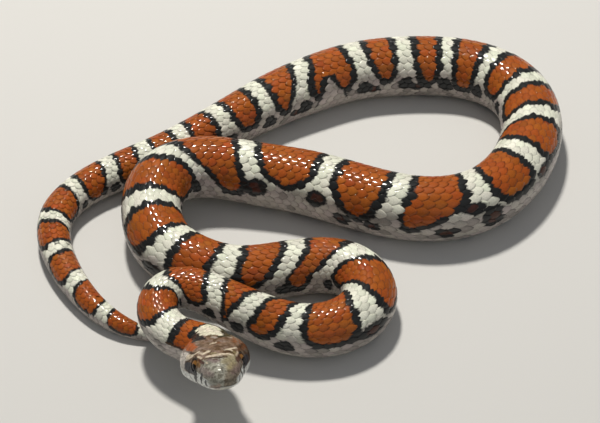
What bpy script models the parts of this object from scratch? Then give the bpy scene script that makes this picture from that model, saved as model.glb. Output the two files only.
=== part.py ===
"""A milk snake at life size, lying in loose coils with its head raised, as one still model.

The whole body follows one smooth course over the floor, from the nape to the tip of the tail.
Its lengths, the head, the jaw and the eyes are each a closed solid, set about 0.3 mm apart.
All sizes here are in millimetres and are turned into metres when a mesh is made.
"""
import math

import bmesh
import bpy
import numpy as np
from mathutils import Matrix, Vector

MM = 0.001
GAP = 0.3

# The course, from the nape to the tip of the tail: x, y, height of the belly, radius
COURSE = [
    (-22.0, -68.0, 8.9, 6.1),
    (-26.5, -62.5, 6.9, 5.5),
    (-31.0, -60.0, 6.6, 5.3),
    (-35.0, -56.0, 6.7, 5.3),
    (-37.0, -50.5, 7.1, 5.3),
    (-35.5, -45.2, 7.6, 5.4),
    (-30.5, -42.8, 7.9, 5.4),
    (-25.0, -44.8, 7.5, 5.6),
    (-19.0, -47.5, 6.1, 6.0),
    (-12.5, -50.2, 3.8, 6.4),
    (-4.0, -53.0, 1.2, 6.8),
    (5.0, -53.5, 0.0, 7.1),
    (13.0, -50.5, 0.0, 7.3),
    (18.0, -44.5, 0.0, 7.4),
    (18.5, -37.5, 0.0, 7.4),
    (15.0, -31.5, 0.0, 7.5),
    (8.5, -28.5, 0.0, 7.5),
    (-1.0, -29.5, 0.0, 7.5),
    (-11.0, -32.5, 0.0, 7.6),
    (-20.0, -33.0, 0.0, 7.8),
    (-30.5, -29.0, 0.0, 8.4),
    (-38.0, -22.0, 0.6, 8.4),
    (-41.0, -11.0, 2.0, 8.3),
    (-40.0, -0.5, 3.2, 8.4),
    (-33.0, 6.5, 3.2, 8.5),
    (-22.0, 7.5, 2.2, 8.7),
    (-11.0, 5.5, 0.6, 8.9),
    (1.0, 3.5, 0.0, 9.1),
    (13.0, -2.0, 0.0, 9.2),
    (25.0, -7.0, 0.0, 9.1),
    (37.0, -9.0, 0.0, 9.0),
    (49.0, -5.5, 0.0, 8.8),
    (58.0, 3.0, 0.0, 8.8),
    (64.5, 15.0, 0.0, 8.8),
    (67.5, 28.0, 0.0, 8.8),
    (66.0, 41.0, 0.0, 8.9),
    (59.5, 50.0, 0.0, 8.9),
    (50.0, 55.0, 0.0, 8.9),
    (39.0, 56.5, 0.0, 8.9),
    (27.0, 56.0, 0.0, 8.9),
    (15.5, 54.0, 0.0, 8.7),
    (4.5, 48.5, 0.0, 8.5),
    (-6.5, 42.0, 0.0, 8.1),
    (-17.0, 34.0, 0.0, 7.4),
    (-28.5, 25.5, 0.0, 6.5),
    (-40.0, 17.5, 0.0, 5.9),
    (-51.5, 11.5, 0.0, 5.5),
    (-61.0, 4.5, 0.0, 5.1),
    (-67.5, -5.0, 0.0, 4.9),
    (-67.5, -15.5, 0.0, 4.6),
    (-64.0, -25.5, 0.0, 4.2),
    (-59.0, -34.5, 0.0, 3.7),
    (-52.5, -43.0, 0.0, 3.2),
    (-44.5, -48.5, 0.0, 2.5),
    (-36.0, -50.5, 0.0, 1.3),
    (-27.5, -50.5, 0.0, 0.4),
]
STEPS_PER_SPAN = 24       # points worked out between two rows of the course

BELLY = 0.92              # depth of the flat belly below the backbone, in radii
BACK_SIDES = 18           # flat sides of a body ring, besides the belly
RING_PITCH = 3.9          # distance between body rings

# Lengths the body is divided into, from the nape back: name, how many, how long each is
DIVISIONS = [("neck", 1, 33.0), ("body", 14, 31.5), ("tail", 3, None)]

# The head, whose axis starts at the nape and ends at the tip of the snout
HEAD_TURN = math.radians(11.0)      # to its own left of straight ahead
HEAD_RISE = math.radians(30.0)      # above the level
HEAD_LENGTH = 25.0
HEAD_SIDES = 32
HEAD_RINGS = 22
# Distance along the axis, half width, height above it, depth below it, squareness
HEAD_PROFILE = [
    (0.0, 6.1, 6.1, 5.6, 2.0),
    (3.0, 7.2, 6.1, 5.5, 2.1),
    (6.0, 8.3, 6.0, 5.2, 2.3),
    (8.5, 8.6, 5.9, 5.0, 2.4),
    (11.5, 7.9, 5.7, 4.7, 2.5),
    (14.5, 6.8, 5.4, 4.4, 2.5),
    (17.0, 6.0, 4.9, 4.1, 2.5),
    (20.0, 5.3, 4.0, 3.6, 2.4),
    (22.5, 4.3, 3.0, 3.0, 2.3),
    (24.2, 2.8, 1.9, 2.1, 2.2),
    (25.0, 1.0, 0.6, 0.9, 2.0),
]
# The line of the mouth, from the snout to its corner: distance along the axis, height
MOUTH = [(27.0, -1.0), (23.5, -1.1), (19.5, -1.7), (14.0, -2.3), (9.0, -2.5), (6.6, -2.0)]
MOUTH_STEPS = 14
JAW_HINGE = (5.4, -9.0)   # where the cut behind the jaw comes out under the throat
LIP_TUCK = 0.05           # how much narrower the lower lip is than the upper one

EYE_RADIUS = 2.3
EYE_PLACE = (15.9, 4.35, 2.0)       # along the axis, to the side, up
BROW = (16.4, 4.3, 4.3)             # crest of the ridge over the eye
BROW_REACH = 2.4
BROW_HEIGHT = 0.4
NOSTRIL = (22.9, 3.6, 0.9)
NOSTRIL_RADIUS = 0.45

ORANGE = (0.52, 0.10, 0.02)
CREAM = (0.62, 0.57, 0.46)
BROWN = (0.20, 0.13, 0.09)
AMBER = (0.30, 0.13, 0.03)


def clear_scene():
    for obj in list(bpy.data.objects):
        bpy.data.objects.remove(obj, do_unlink=True)


def finish(name, colour, roughness):
    """A plain glossy skin colour."""
    material = bpy.data.materials.new(name)
    material.use_nodes = True
    shader = material.node_tree.nodes["Principled BSDF"]
    shader.inputs["Base Color"].default_value = (*colour, 1.0)
    shader.inputs["Roughness"].default_value = roughness
    shader.inputs["Metallic"].default_value = 0.0
    return material


def head_axes():
    """Forward, left and up of the head."""
    level = math.cos(HEAD_RISE)
    forward = Vector((level * math.sin(HEAD_TURN), -level * math.cos(HEAD_TURN), math.sin(HEAD_RISE)))
    left = Vector((0, 0, 1)).cross(forward).normalized()
    return forward, left, forward.cross(left)


def trace_course():
    """The course as a smooth spline: distance from the nape, then the columns of COURSE."""
    rows = np.array(COURSE)
    lead = 3.5
    forward = head_axes()[0]
    ahead = np.array([forward.x, forward.y, forward.z, 0.0]) * lead
    start = rows[0]
    end = 2 * rows[-1] - rows[-2]
    rows = np.vstack([start + ahead, start, start - ahead, rows[1:], end])
    points = []
    for span in range(len(rows) - 3):
        for step in range(STEPS_PER_SPAN):
            t = step / STEPS_PER_SPAN
            weights = np.array([(1 - t) ** 3, 3 * t ** 3 - 6 * t ** 2 + 4,
                                -3 * t ** 3 + 3 * t ** 2 + 3 * t + 1, t ** 3]) / 6
            points.append(weights @ rows[span:span + 4])
    points = np.array(points)
    runs = np.linalg.norm(np.diff(points[:, :3], axis=0), axis=1)
    distance = np.concatenate([[0.0], np.cumsum(runs)])
    return distance, points


DISTANCE, POINTS = trace_course()
BODY_LENGTH = float(DISTANCE[-1])


def belly_line(s):
    """The middle of the belly at a distance from the nape."""
    return Vector([float(np.interp(s, DISTANCE, POINTS[:, k])) for k in range(3)])


def radius(s):
    return float(np.interp(s, DISTANCE, POINTS[:, 3]))


def centre(s):
    return belly_line(s) + Vector((0, 0, BELLY * radius(s)))


def frame(s):
    """Forward, left and up of the body at a distance from the nape."""
    if s <= 0:
        return head_axes()
    reach = 0.6
    ahead = belly_line(max(s - reach, 0))
    forward = (ahead - belly_line(min(s + reach, BODY_LENGTH))).normalized()
    left = Vector((0, 0, 1)).cross(forward).normalized()
    return forward, left, forward.cross(left)


def body_ring(s, shift=0.0):
    """Corners of the body's cross section, from one edge of the belly over the back."""
    forward, left, up = frame(s)
    middle = centre(s) + shift * forward
    r = radius(s)
    edge = -math.asin(BELLY)
    sweep = math.pi - 2 * edge
    corners = []
    for k in range(BACK_SIDES + 1):
        angle = edge + sweep * k / BACK_SIDES
        corners.append(middle + r * math.cos(angle) * left + r * math.sin(angle) * up)
    return corners


def loft(rings):
    """A closed mesh through rings of the same number of corners, flat at both ends."""
    bm = bmesh.new()
    loops = [[bm.verts.new(corner) for corner in ring] for ring in rings]
    count = len(loops[0])
    for front, back in zip(loops, loops[1:]):
        for k in range(count):
            after = (k + 1) % count
            bm.faces.new((front[k], front[after], back[after], back[k]))
    bm.faces.new(loops[0])
    bm.faces.new(loops[-1])
    bmesh.ops.recalc_face_normals(bm, faces=bm.faces)
    return bm


def add_object(name, bm, place, material, parent):
    """Turns a mesh in millimetres into an object, with its origin at the given place."""
    mesh = bpy.data.meshes.new(name)
    bm.to_mesh(mesh)
    bm.free()
    mesh.transform(Matrix.Scale(MM, 4))
    mesh.shade_smooth()
    mesh.set_sharp_from_angle(angle=math.radians(40))
    mesh.materials.append(material)
    obj = bpy.data.objects.new(name, mesh)
    obj.matrix_world = place
    obj.parent = parent
    bpy.context.collection.objects.link(obj)
    return obj


def divide_body():
    """Name, start and end of each length, worked out from the nape back."""
    pieces = []
    start = 0.0
    for name, count, length in DIVISIONS:
        if length is None:
            length = (BODY_LENGTH - start) / count
        for k in range(count):
            label = name if count == 1 else f"{name}_{k + 1:02d}"
            pieces.append((label, start, start + length))
            start += length
    return pieces


def build_length(name, start, end, material, parent):
    """One length of the body, cut square to the course at both ends."""
    steps = max(2, round((end - start) / RING_PITCH))
    rings = []
    for k in range(steps + 1):
        shift = 0.0
        if k == 0:
            shift = -GAP / 2
        if k == steps and end < BODY_LENGTH:
            shift = GAP / 2
        rings.append(body_ring(start + (end - start) * k / steps, shift))
    middle = centre((start + end) / 2)
    rings = [[corner - middle for corner in ring] for ring in rings]
    place = Matrix.Translation(middle * MM)
    return add_object(name, loft(rings), place, material, parent)


def smooth_row(table, x):
    """The columns of a table at x, on a curve that bends smoothly through its rows."""
    rows = np.array(table)
    places = rows[:, 0]
    slopes = np.gradient(rows[:, 1:], places, axis=0)
    k = int(np.clip(np.searchsorted(places, x) - 1, 0, len(places) - 2))
    width = places[k + 1] - places[k]
    t = min(max((x - places[k]) / width, 0.0), 1.0)
    start = (1 + 2 * t) * (1 - t) ** 2 * rows[k, 1:] + t * (1 - t) ** 2 * width * slopes[k]
    end = t * t * (3 - 2 * t) * rows[k + 1, 1:] + t * t * (t - 1) * width * slopes[k + 1]
    return [float(value) for value in start + end]


def mouth_height(f):
    return smooth_row(MOUTH[::-1], f)[0]


def head_point(f, angle):
    """A point of the head's surface, in the head's own forward, left and up."""
    width, height, depth, squareness = smooth_row(HEAD_PROFILE, f)
    power = 2 / squareness
    across = math.copysign(abs(math.cos(angle)) ** power, math.cos(angle)) * width
    rise = math.copysign(abs(math.sin(angle)) ** power, math.sin(angle))
    rise *= height if rise > 0 else depth
    below = min(max((mouth_height(f) - rise) / 0.8, 0.0), 1.0) * min(f / 8, 1.0)
    across *= 1 - LIP_TUCK * below
    away = Vector((f, abs(across), rise)) - Vector(BROW)
    ridge = BROW_HEIGHT * math.exp(-(away.length / BROW_REACH) ** 2)
    return Vector((f, across + math.copysign(ridge, across) * 0.6, rise + ridge))


def head_rings():
    rings = []
    for k in range(HEAD_RINGS + 1):
        turn = k / HEAD_RINGS
        f = HEAD_LENGTH * (0.55 * turn + 0.45 * math.sin(turn * math.pi / 2))
        f = max(f, GAP / 2)
        rings.append([head_point(f, 2 * math.pi * (j + 0.5) / HEAD_SIDES) for j in range(HEAD_SIDES)])
    return rings


def mouth_blade():
    """The thin cut that parts the jaw from the head: along the mouth, then down behind it."""
    front, corner = MOUTH[0][0], MOUTH[-1][0]
    line = []
    for k in range(MOUTH_STEPS + 1):
        f = front + (corner - front) * k / MOUTH_STEPS
        line.append(Vector((f, mouth_height(f))))
    line.append(Vector(JAW_HINGE))
    upper = []
    lower = []
    for k, point in enumerate(line):
        before = line[max(k - 1, 0)]
        after = line[min(k + 1, len(line) - 1)]
        run = (after - before).normalized()
        normal = Vector((-run.y, run.x)) * GAP / 2
        upper.append(point - normal)
        lower.append(point + normal)
    outline = upper + lower[::-1]
    reach = 14.0
    rings = [[Vector((p.x, side, p.y)) for p in outline] for side in (-reach, reach)]
    return loft(rings)


def ball(radius_mm, middle, segments):
    bm = bmesh.new()
    place = Matrix.Translation(middle)
    bmesh.ops.create_uvsphere(bm, u_segments=segments, v_segments=segments // 2,
                              radius=radius_mm, matrix=place)
    return bm


def cut(bm, cutters):
    """The mesh with each cutter taken away, worked out by exact Booleans."""
    mesh = bpy.data.meshes.new("cut")
    bm.to_mesh(mesh)
    bm.free()
    target = bpy.data.objects.new("cut", mesh)
    bpy.context.collection.objects.link(target)
    guides = []
    for cutter in cutters:
        guide_mesh = bpy.data.meshes.new("cutter")
        bmesh.ops.recalc_face_normals(cutter, faces=cutter.faces)
        cutter.to_mesh(guide_mesh)
        cutter.free()
        guide = bpy.data.objects.new("cutter", guide_mesh)
        bpy.context.collection.objects.link(guide)
        modifier = target.modifiers.new("cut", "BOOLEAN")
        modifier.operation = "DIFFERENCE"
        modifier.solver = "EXACT"
        modifier.object = guide
        guides.append(guide)
    bpy.context.view_layer.update()
    depsgraph = bpy.context.evaluated_depsgraph_get()
    result = bmesh.new()
    result.from_mesh(target.evaluated_get(depsgraph).to_mesh())
    for obj in guides + [target]:
        bpy.data.objects.remove(obj, do_unlink=True)
    return result


def islands(bm):
    """The separate closed surfaces of a mesh, as lists of faces, largest first."""
    left = set(bm.faces)
    groups = []
    while left:
        stack = [left.pop()]
        group = []
        while stack:
            face = stack.pop()
            group.append(face)
            for edge in face.edges:
                for other in edge.link_faces:
                    if other in left:
                        left.remove(other)
                        stack.append(other)
        groups.append(group)
    return sorted(groups, key=len, reverse=True)


def keep(bm, group):
    """A new mesh with only one group of faces."""
    result = bm.copy()
    result.faces.ensure_lookup_table()
    wanted = {face.index for face in group}
    spare = [face for face in result.faces if face.index not in wanted]
    bmesh.ops.delete(result, geom=spare, context="FACES")
    return result


def mirrored(place, side):
    return Vector((place[0], place[1] * side, place[2]))


def build_head(parent):
    """The head, the jaw and the two eyes, in the head's own axes."""
    forward, left, up = head_axes()
    turn = Matrix((forward, left, up)).transposed().to_4x4()
    place = Matrix.Translation(centre(0) * MM) @ turn
    cutters = [mouth_blade()]
    for side in (1, -1):
        cutters.append(ball(EYE_RADIUS + GAP, mirrored(EYE_PLACE, side), 20))
        cutters.append(ball(NOSTRIL_RADIUS, mirrored(NOSTRIL, side), 8))
    skull = cut(loft(head_rings()), cutters)
    skull.faces.index_update()
    groups = islands(skull)
    head = keep(skull, groups[0])
    jaw = keep(skull, groups[1])
    skull.free()
    add_object("head", head, place, finish("head_skin", BROWN, 0.35), parent)
    add_object("jaw", jaw, place, finish("jaw_skin", CREAM, 0.4), parent)
    iris = finish("eye", AMBER, 0.08)
    for name, side in (("eye_left", 1), ("eye_right", -1)):
        eye_place = place @ Matrix.Translation(mirrored(EYE_PLACE, side) * MM)
        add_object(name, ball(EYE_RADIUS, Vector((0, 0, 0)), 20), eye_place, iris, parent)


def stand_on_origin(parent):
    """Moves everything so that the origin is on the floor under the middle of the whole."""
    bpy.context.view_layer.update()
    corners = [child.matrix_world @ vertex.co for child in parent.children for vertex in child.data.vertices]
    lows = [min(corner[k] for corner in corners) for k in range(3)]
    highs = [max(corner[k] for corner in corners) for k in range(3)]
    parent.location = (-(lows[0] + highs[0]) / 2, -(lows[1] + highs[1]) / 2, -lows[2])


def main():
    clear_scene()
    root = bpy.data.objects.new("milk_snake", None)
    bpy.context.collection.objects.link(root)
    build_head(root)
    skins = [finish("orange_skin", ORANGE, 0.35), finish("cream_skin", CREAM, 0.35)]
    for k, (name, start, end) in enumerate(divide_body()):
        build_length(name, start, end, skins[k % 2], root)
    stand_on_origin(root)


main()
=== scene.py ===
"""The milk snake as it looks: one skin over the whole body, the head's shields, thin
overlapping scales, belly scutes, and eyes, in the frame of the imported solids.

All sizes here are in millimetres and are turned into metres when a mesh is made. The course
and the head repeat the values of the solids. Angles round the body are measured from the
middle of the back, positive to the snake's own left.
"""
import math

import bpy
import numpy as np
from mathutils import Matrix, Vector, noise
from mathutils.kdtree import KDTree


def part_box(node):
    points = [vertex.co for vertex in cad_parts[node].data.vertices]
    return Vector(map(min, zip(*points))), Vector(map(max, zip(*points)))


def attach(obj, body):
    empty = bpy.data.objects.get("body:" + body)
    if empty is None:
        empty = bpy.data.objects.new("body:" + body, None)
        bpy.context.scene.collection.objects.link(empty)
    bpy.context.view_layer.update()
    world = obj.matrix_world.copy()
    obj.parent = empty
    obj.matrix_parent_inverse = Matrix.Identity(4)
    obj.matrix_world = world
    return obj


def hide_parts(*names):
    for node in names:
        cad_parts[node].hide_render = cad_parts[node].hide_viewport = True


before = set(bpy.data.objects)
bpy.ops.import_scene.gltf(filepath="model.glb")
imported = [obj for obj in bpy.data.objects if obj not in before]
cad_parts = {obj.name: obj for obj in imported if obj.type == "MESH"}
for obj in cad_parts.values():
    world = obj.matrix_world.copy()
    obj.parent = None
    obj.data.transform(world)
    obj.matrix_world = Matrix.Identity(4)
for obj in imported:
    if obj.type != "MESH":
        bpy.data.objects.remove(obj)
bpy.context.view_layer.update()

MM = 0.001

# The course, from the nape to the tip of the tail: x, y, height of the belly, radius
COURSE = [
    (-22.0, -68.0, 8.9, 6.1), (-26.5, -62.5, 6.9, 5.5), (-31.0, -60.0, 6.6, 5.3),
    (-35.0, -56.0, 6.7, 5.3), (-37.0, -50.5, 7.1, 5.3), (-35.5, -45.2, 7.6, 5.4),
    (-30.5, -42.8, 7.9, 5.4), (-25.0, -44.8, 7.5, 5.6), (-19.0, -47.5, 6.1, 6.0),
    (-12.5, -50.2, 3.8, 6.4), (-4.0, -53.0, 1.2, 6.8), (5.0, -53.5, 0.0, 7.1),
    (13.0, -50.5, 0.0, 7.3), (18.0, -44.5, 0.0, 7.4), (18.5, -37.5, 0.0, 7.4),
    (15.0, -31.5, 0.0, 7.5), (8.5, -28.5, 0.0, 7.5), (-1.0, -29.5, 0.0, 7.5),
    (-11.0, -32.5, 0.0, 7.6), (-20.0, -33.0, 0.0, 7.8), (-30.5, -29.0, 0.0, 8.4),
    (-38.0, -22.0, 0.6, 8.4), (-41.0, -11.0, 2.0, 8.3), (-40.0, -0.5, 3.2, 8.4),
    (-33.0, 6.5, 3.2, 8.5), (-22.0, 7.5, 2.2, 8.7), (-11.0, 5.5, 0.6, 8.9),
    (1.0, 3.5, 0.0, 9.1), (13.0, -2.0, 0.0, 9.2), (25.0, -7.0, 0.0, 9.1),
    (37.0, -9.0, 0.0, 9.0), (49.0, -5.5, 0.0, 8.8), (58.0, 3.0, 0.0, 8.8),
    (64.5, 15.0, 0.0, 8.8), (67.5, 28.0, 0.0, 8.8), (66.0, 41.0, 0.0, 8.9),
    (59.5, 50.0, 0.0, 8.9), (50.0, 55.0, 0.0, 8.9), (39.0, 56.5, 0.0, 8.9),
    (27.0, 56.0, 0.0, 8.9), (15.5, 54.0, 0.0, 8.7), (4.5, 48.5, 0.0, 8.5),
    (-6.5, 42.0, 0.0, 8.1), (-17.0, 34.0, 0.0, 7.4), (-28.5, 25.5, 0.0, 6.5),
    (-40.0, 17.5, 0.0, 5.9), (-51.5, 11.5, 0.0, 5.5), (-61.0, 4.5, 0.0, 5.1),
    (-67.5, -5.0, 0.0, 4.9), (-67.5, -15.5, 0.0, 4.6), (-64.0, -25.5, 0.0, 4.2),
    (-59.0, -34.5, 0.0, 3.7), (-52.5, -43.0, 0.0, 3.2), (-44.5, -48.5, 0.0, 2.5),
    (-36.0, -50.5, 0.0, 1.3), (-27.5, -50.5, 0.0, 0.4),
]
STEPS_PER_SPAN = 24
NAPE_HOLD = 3.5           # the course keeps to the head's axis this far each side of the nape
BELLY = 0.92              # depth of the flat belly below the backbone, in radii

# The head, whose axis starts at the nape and ends at the tip of the snout
HEAD_TURN = math.radians(11.0)
HEAD_RISE = math.radians(30.0)
HEAD_LENGTH = 25.0
# Distance along the axis, half width, height above it, depth below it, squareness
HEAD_PROFILE = [
    (0.0, 6.1, 6.1, 5.6, 2.0),
    (3.0, 7.2, 6.1, 5.5, 2.1),
    (6.0, 8.3, 6.0, 5.2, 2.3),
    (8.5, 8.6, 5.9, 5.0, 2.4),
    (11.5, 7.9, 5.7, 4.7, 2.5),
    (14.5, 6.8, 5.4, 4.4, 2.5),
    (17.0, 6.0, 4.9, 4.1, 2.5),
    (20.0, 5.3, 4.0, 3.6, 2.4),
    (22.5, 4.3, 3.0, 3.0, 2.3),
    (24.2, 2.8, 1.9, 2.1, 2.2),
    (25.0, 1.0, 0.6, 0.9, 2.0),
]
MOUTH = [(27.0, -1.9), (23.5, -1.75), (19.5, -2.0), (14.0, -2.4), (9.0, -2.5), (6.6, -2.0)]
LIP_TUCK = 0.05
LIP_RUN = 0.8             # height over which the lower jaw tucks in
LIP_START = 8.0
EYE_PLACE = (15.9, 4.35, 2.0)
EYE_SHOWN = (16.1, 4.35, 1.85)
EYE_SHOWN_RADIUS = 1.98
BROW = (16.4, 4.3, 4.3)
BROW_REACH = 2.4
BROW_HEIGHT = 0.4
BROW_OUT = 0.6            # share of the brow's height that goes sideways
NOSTRIL = (22.9, 3.6, 0.9)
EYE_HOLLOW = (20.2, 5.1, 1.0)      # the dip between eye and nostril
EYE_AIM = (0.52, 0.85, -0.05)      # forward, out and up of the way the pupil faces


def unit(v):
    """Vectors of length 1."""
    return v / np.linalg.norm(v, axis=-1, keepdims=True)


def head_axes():
    """Forward, left and up of the head."""
    level = math.cos(HEAD_RISE)
    sideways, ahead = level * math.sin(HEAD_TURN), -level * math.cos(HEAD_TURN)
    forward = np.array([sideways, ahead, math.sin(HEAD_RISE)])
    left = unit(np.cross([0.0, 0.0, 1.0], forward))
    return forward, left, np.cross(forward, left)


def trace_course():
    """The course as a smooth spline: distance from the nape, then the columns of COURSE."""
    rows = np.array(COURSE)
    ahead = np.append(head_axes()[0], 0.0) * NAPE_HOLD
    nape = [rows[0] + ahead, rows[0], rows[0] - ahead]
    rows = np.vstack([*nape, rows[1:], 2 * rows[-1] - rows[-2]])
    points = []
    for span in range(len(rows) - 3):
        t = (np.arange(STEPS_PER_SPAN) / STEPS_PER_SPAN)[:, None]
        weights = np.hstack([(1 - t) ** 3, 3 * t ** 3 - 6 * t ** 2 + 4,
                             -3 * t ** 3 + 3 * t ** 2 + 3 * t + 1, t ** 3]) / 6
        points.append(weights @ rows[span:span + 4])
    points = np.vstack(points)
    runs = np.linalg.norm(np.diff(points[:, :3], axis=0), axis=1)
    return np.concatenate([[0.0], np.cumsum(runs)]), points


DISTANCE, POINTS = trace_course()
BODY_LENGTH = float(DISTANCE[-1])
FORWARD, LEFT, UP = head_axes()


def along(s, column):
    """One column of the course at distances from the nape; 3 is the radius."""
    return np.interp(s, DISTANCE, POINTS[:, column])


def belly_line(s):
    return np.stack([along(s, k) for k in range(3)], axis=-1)


def body_axes(s):
    """Backbone, forward, left and up of the body at distances from the nape."""
    s = np.asarray(s, float)
    reach = 0.6
    ahead = belly_line(np.maximum(s - reach, 0))
    forward = unit(ahead - belly_line(np.minimum(s + reach, BODY_LENGTH)))
    left = unit(np.cross(np.array([0.0, 0.0, 1.0]), forward))
    middle = belly_line(s)
    middle[..., 2] += BELLY * along(s, 3)
    return middle, forward, left, np.cross(forward, left)


NAPE = body_axes(np.array([0.0]))[0][0]


def smooth_rows(table, x):
    """The columns of a table at each x, on a curve that bends smoothly through its rows."""
    rows = np.array(table)
    x = np.asarray(x, float)
    places = rows[:, 0]
    slopes = np.gradient(rows[:, 1:], places, axis=0)
    k = np.clip(np.searchsorted(places, x) - 1, 0, len(places) - 2)
    width = (places[k + 1] - places[k])[..., None]
    t = np.clip((x - places[k])[..., None] / width, 0, 1)
    value = (1 + 2 * t) * (1 - t) ** 2 * rows[k, 1:] + t * (1 - t) ** 2 * width * slopes[k]
    value += t * t * (3 - 2 * t) * rows[k + 1, 1:] + t * t * (t - 1) * width * slopes[k + 1]
    return np.moveaxis(value, -1, 0)


def mouth_height(f):
    return smooth_rows(MOUTH[::-1], f)[0]


def head_section(f, angle):
    """Across and up of the head's surface, in its own axes."""
    width, height, depth, squareness = smooth_rows(HEAD_PROFILE, f)
    power = 2 / squareness
    across = np.sign(np.cos(angle)) * np.abs(np.cos(angle)) ** power * width
    rise = np.sign(np.sin(angle)) * np.abs(np.sin(angle)) ** power
    rise = rise * np.where(rise > 0, height, depth)
    below = np.clip((mouth_height(f) - rise) / LIP_RUN, 0, 1) * np.clip(f / LIP_START, 0, 1)
    across = across * (1 - LIP_TUCK * below)
    away = (f - BROW[0]) ** 2 + (np.abs(across) - BROW[1]) ** 2 + (rise - BROW[2]) ** 2
    ridge = BROW_HEIGHT * np.exp(-away / BROW_REACH ** 2)
    return across + np.sign(across) * ridge * BROW_OUT, rise + ridge


def head_to_course(f, across, rise):
    """From the head's own axes to the axes of the course."""
    return NAPE + f[..., None] * FORWARD + across[..., None] * LEFT + rise[..., None] * UP


def head_spot(place_in_head, side):
    """A place given in the head's own axes, on one side, in the axes of the course."""
    f, across, rise = (np.array([value]) for value in place_in_head)
    return head_to_course(f, across * side, rise)[0]


def find_shift():
    """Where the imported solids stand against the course."""
    low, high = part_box("eye_left")
    return np.array((low + high) / 2) / MM - head_spot(EYE_PLACE, 1)


SHIFT = find_shift()

# White rings along the body: distance from the nape on the left side, the back and the
# right side, and half width on the back. Read off the photo on the model's course.
RINGS = [
    (16.5, 14.6, 14.9, 2.3), (32.0, 28.7, 29.8, 1.7), (44.6, 42.6, 41.8, 1.7),
    (52.3, 53.4, 57.0, 1.95), (64.3, 65.5, 68.5, 1.85), (82.7, 84.0, 88.5, 2.35),
    (101.0, 102.2, 107.8, 2.5), (117.0, 117.8, 122.5, 2.2), (134.3, 134.9, 137.3, 2.3),
    (150.8, 151.8, 152.2, 2.1), (168.0, 168.2, 167.9, 2.1), (189.7, 185.0, 182.5, 1.95),
    (208.5, 205.8, 204.5, 2.2), (230.5, 230.3, 230.8, 2.2), (250.3, 251.2, 251.5, 2.2),
    (270.5, 271.3, 273.0, 2.3), (290.5, 291.0, 292.2, 2.4), (309.7, 308.5, 305.0, 2.0),
    (323.8, 323.2, 321.5, 1.8), (337.0, 337.8, 337.3, 1.8), (352.0, 352.0, 351.5, 1.5),
    (365.7, 365.3, 364.8, 2.1), (380.0, 380.2, 379.3, 2.1), (395.8, 397.6, 401.0, 2.1),
    (413.0, 413.5, 413.6, 2.0), (428.2, 427.5, 427.0, 2.0), (439.8, 440.0, 440.8, 1.9),
    (451.3, 451.8, 452.6, 1.75), (462.2, 462.8, 463.8, 1.75), (474.8, 475.5, 476.3, 1.6),
    (487.8, 488.8, 489.8, 1.4), (501.0, 500.5, 500.2, 1.5), (514.3, 513.2, 511.8, 1.8),
    (526.7, 526.5, 525.5, 1.6), (538.0, 537.5, 537.0, 1.1), (545.5, 545.5, 545.5, 0.5),
]

# How far round from the back the orange of each saddle reaches, from the first ring back
SADDLE_ENDS = [
    78, 74, 82, 80, 78, 78, 92, 72, 80, 80, 94, 92, 58, 82, 84, 60, 66, 66, 78, 92, 84,
    75, 80, 80, 76, 78, 78, 84, 90, 84, 72, 76, 76, 84, 74, 70,
]
STRAIGHT = 38.0           # turn from the back down to which a saddle keeps its length
BLACK_TURN = 13.0         # how much further round its black edge goes
BORDER = 0.25             # length of a black edge, in radii
SQUARENESS = 2.4          # of a saddle's foot
# Saddles with a more pointed foot: which, and its squareness
POINTED = [
    (0, 1.9), (5, 1.9), (7, 1.7), (11, 1.9), (12, 1.45), (13, 1.6), (14, 1.6), (21, 1.8), (23, 1.9),
]
# Saddles whose foot lies off the middle: which, and how far back along the body
FOOT_SHIFTS = [(4, 1.5), (6, 1.5), (7, -1.0), (11, 3.0), (13, 1.8), (14, -5.0), (15, 1.0)]

# Dark spots low on the flanks: distance, turn (left positive), half length, half turn
SPOTS = [
    (82.5, 80, 3.6, 15), (210.5, 74, 3.4, 19), (230.0, 70, 3.6, 15), (237.8, 98, 2.4, 13),
    (246.0, 96, 1.9, 10), (262.5, 98, 2.6, 12), (268.5, 57, 2.9, 12), (272.8, 84, 2.7, 24),
    (291.2, 66, 3.3, 12), (361.5, -98, 2.8, 9), (376.0, -96, 2.4, 10), (404.0, -95, 2.6, 10),
]
SPOTTED = [5, 12, 13, 14, 15, 16]     # rings whose left flank has its spots in SPOTS
RING_SPOT = (91.0, 15.0, 3.1)         # the spot under each other ring: turn, half turn, half length
# A pale notch that splits one saddle from below on its right side: distance, turn of its top
NOTCH = (391.6, 42.0)
PALE_FADE = (50, 80)                  # turns between which the white dulls to the flank's colour

ORANGE = (0.400, 0.094, 0.012)
BLACK = (0.016, 0.017, 0.017)
WHITE = (0.86, 0.86, 0.72)
FLANK = (0.46, 0.41, 0.37)
DARK_RED = (0.070, 0.022, 0.014)
BELLY_PALE = (0.62, 0.60, 0.52)
COLLAR = (0.370, 0.082, 0.009)
# Darker copy of the collar for the head's left side, partly brownish tone and partly painted shade; also
# the small rust mark on the crown
RUST_AND_SHADED_COLLAR = (0.240, 0.090, 0.035)
CROWN = (0.235, 0.150, 0.095)
CROWN_GREY = (0.270, 0.195, 0.155)
CROWN_DARK = (0.110, 0.062, 0.030)
BROWN = (0.070, 0.036, 0.018)
SNOUT = (0.420, 0.410, 0.340)
SNOUT_BROWN = (0.270, 0.225, 0.165)
SNOUT_DARK = (0.105, 0.095, 0.070)
OLIVE = (0.330, 0.275, 0.135)
PLUM = (0.190, 0.120, 0.125)
MAROON = (0.075, 0.022, 0.018)
PINK = (0.400, 0.270, 0.210)
AMBER = (0.260, 0.140, 0.050)
CREAM = (0.84, 0.79, 0.61)
STREAK = (0.720, 0.610, 0.460)
CHEEK = (0.640, 0.580, 0.520)
LIP = (0.80, 0.81, 0.76)
SLATE = (0.044, 0.042, 0.050)
OLIVE_DARK = (0.050, 0.042, 0.018)


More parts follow.
